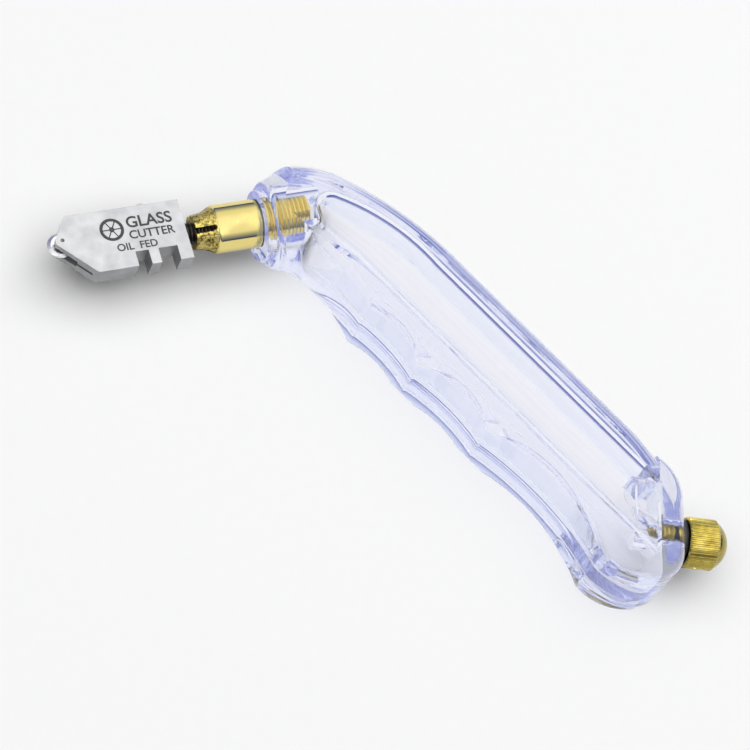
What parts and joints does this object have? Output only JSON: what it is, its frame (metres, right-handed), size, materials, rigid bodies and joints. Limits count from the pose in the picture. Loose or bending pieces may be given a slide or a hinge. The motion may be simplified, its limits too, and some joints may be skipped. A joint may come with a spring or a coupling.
{
  "type": "glass cutter",
  "caption": "Pistol-grip oil-fed glass cutter: clear hollow handle, brass collar, wide steel head with a small cutting wheel, knurled filler cap.",
  "frame": {"origin": "centre of the bounding box's bottom face, on the surface the handle lies on", "axes": "+X along the filler cap's axis, out of the end cap; +Z through the handle's thickness; the head points towards -X and -Y from the collar"},
  "size_m": [0.1518, 0.0888, 0.021],
  "materials": {
    "clear_acrylic": "clear, polished, faint blue-violet tint at the edges",
    "knob_brass": "straight-knurled, bright",
    "collar_brass": "polished body, coarse-turned nose",
    "plug_brass": "pale satin",
    "head_steel": "satin",
    "pin_steel": "ground",
    "carbide": "ground and polished",
    "dark_steel": "blackened",
    "rubber": "matt",
    "cotton": "twisted fibre"
  },
  "bodies": {
    "handle": {"handle_body": "clear_acrylic", "end_cap": "clear_acrylic"},
    "filler_ring": {"filler_oring": "rubber"},
    "filler": {"filler_cap": "knob_brass"},
    "collar_ring": {"collar_seal": "rubber"},
    "collar": {"collar": "collar_brass"},
    "stem_ring": {"stem_seal": "rubber"},
    "head": {"head_body": "head_steel", "stem": "dark_steel", "wick": "cotton", "oil_plug": "plug_brass", "wheel_axle": "pin_steel"},
    "wheel": {"cutting_wheel": "carbide"}
  },
  "joints": [
    {"name": "filler_lift", "type": "slide", "parent": "handle", "child": "filler_ring", "axis": [1, 0, 0], "range_m": [0, 0.009]},
    {"name": "filler_turn", "type": "hinge", "parent": "filler_ring", "child": "filler", "pos_m": [0.06, -0.03096, 0.0105], "axis": [1, 0, 0], "range_deg": [0, 3240.5]},
    {"name": "collar_lift", "type": "slide", "parent": "handle", "child": "collar_ring", "axis": [-0.9511, -0.309, 0], "range_m": [0, 0.012]},
    {"name": "collar_turn", "type": "hinge", "parent": "collar_ring", "child": "collar", "pos_m": [-0.03997, 0.02974, 0.0105], "axis": [-0.9511, -0.309, 0], "range_deg": [0, 4320.5]},
    {"name": "head_lift", "type": "slide", "parent": "collar", "child": "stem_ring", "axis": [-0.9511, -0.309, 0], "range_m": [0, 0.0096]},
    {"name": "head_turn", "type": "hinge", "parent": "stem_ring", "child": "head", "pos_m": [-0.04663, 0.02758, 0.0105], "axis": [-0.9511, -0.309, 0], "range_deg": [0, 4320.5]},
    {"name": "wheel_spin", "type": "hinge", "parent": "head", "child": "wheel", "pos_m": [-0.07303, 0.02079, 0.0105], "axis": [0, 0, 1], "continuous": true}
  ],
  "couplings": [
    {"joint": "filler_turn", "follows": "filler_lift", "rad_per_m": 6283.2},
    {"joint": "collar_turn", "follows": "collar_lift", "rad_per_m": 6283.2},
    {"joint": "head_turn", "follows": "head_lift", "rad_per_m": 7854}
  ]
}
